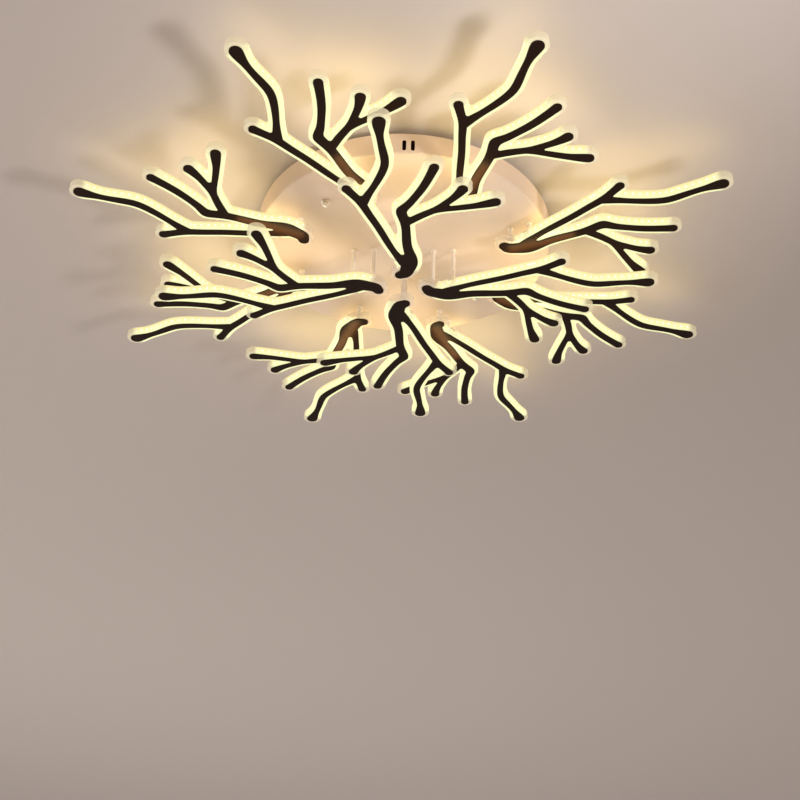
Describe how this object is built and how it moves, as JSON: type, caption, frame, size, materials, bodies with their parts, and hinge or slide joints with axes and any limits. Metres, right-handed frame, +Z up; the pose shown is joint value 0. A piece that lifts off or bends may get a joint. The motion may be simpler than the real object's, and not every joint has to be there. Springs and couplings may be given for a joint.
{
  "type": "ceiling light",
  "caption": "Flush ceiling light with flat branch-shaped arms of edge-lit acrylic on black plates, hung on posts in two levels under a round pan.",
  "frame": {"origin": "on the ceiling plane, on the axis of the round pan, in the middle of the bracket's screw holes", "axes": "+Z up into the ceiling, along the pan's axis; the first inner arm points along +X"},
  "size_m": [0.9596, 0.9596, 0.12],
  "materials": {
    "iron_plate": "satin black paint",
    "acrylic": "milky acrylic, lit from inside",
    "led_strip": "white flexible circuit",
    "post_metal": "white paint",
    "pan_paint": "white paint, satin",
    "zinc_steel": "zinc plated",
    "nickel_plate": "nickel plated",
    "driver_case": "moulded",
    "terminal_plastic": "moulded",
    "lead_sleeve": "sleeved"
  },
  "bodies": {
    "root": {"arm_01_plate": "iron_plate", "arm_01_acrylic": "acrylic", "arm_01_led_strips": "led_strip", "arm_01_posts": "post_metal", "arm_02_plate": "iron_plate", "arm_02_acrylic": "acrylic", "arm_02_led_strips": "led_strip", "arm_02_posts": "post_metal", "arm_03_plate": "iron_plate", "arm_03_acrylic": "acrylic", "arm_03_led_strips": "led_strip", "arm_03_posts": "post_metal", "arm_04_plate": "iron_plate", "arm_04_acrylic": "acrylic", "arm_04_led_strips": "led_strip", "arm_04_posts": "post_metal", "arm_05_plate": "iron_plate", "arm_05_acrylic": "acrylic", "arm_05_led_strips": "led_strip", "arm_05_posts": "post_metal", "arm_06_plate": "iron_plate", "arm_06_acrylic": "acrylic", "arm_06_led_strips": "led_strip", "arm_06_posts": "post_metal", "arm_07_plate": "iron_plate", "arm_07_acrylic": "acrylic", "arm_07_led_strips": "led_strip", "arm_07_posts": "post_metal", "arm_08_plate": "iron_plate", "arm_08_acrylic": "acrylic", "arm_08_led_strips": "led_strip", "arm_08_posts": "post_metal", "arm_09_plate": "iron_plate", "arm_09_acrylic": "acrylic", "arm_09_led_strips": "led_strip", "arm_09_posts": "post_metal", "arm_10_plate": "iron_plate", "arm_10_acrylic": "acrylic", "arm_10_led_strips": "led_strip", "arm_10_posts": "post_metal", "arm_11_plate": "iron_plate", "arm_11_acrylic": "acrylic", "arm_11_led_strips": "led_strip", "arm_11_posts": "post_metal", "arm_12_plate": "iron_plate", "arm_12_acrylic": "acrylic", "arm_12_led_strips": "led_strip", "arm_12_posts": "post_metal", "canopy_pan": "pan_paint", "ceiling_bracket": "zinc_steel", "bracket_studs": "zinc_steel", "cap_nuts": "nickel_plate", "post_nuts": "zinc_steel", "driver_1": "driver_case", "driver_2": "driver_case", "terminal_block": "terminal_plastic", "terminal_screws": "zinc_steel", "weld_studs": "zinc_steel", "weld_nuts": "zinc_steel", "leads": "lead_sleeve"}
  },
  "joints": []
}
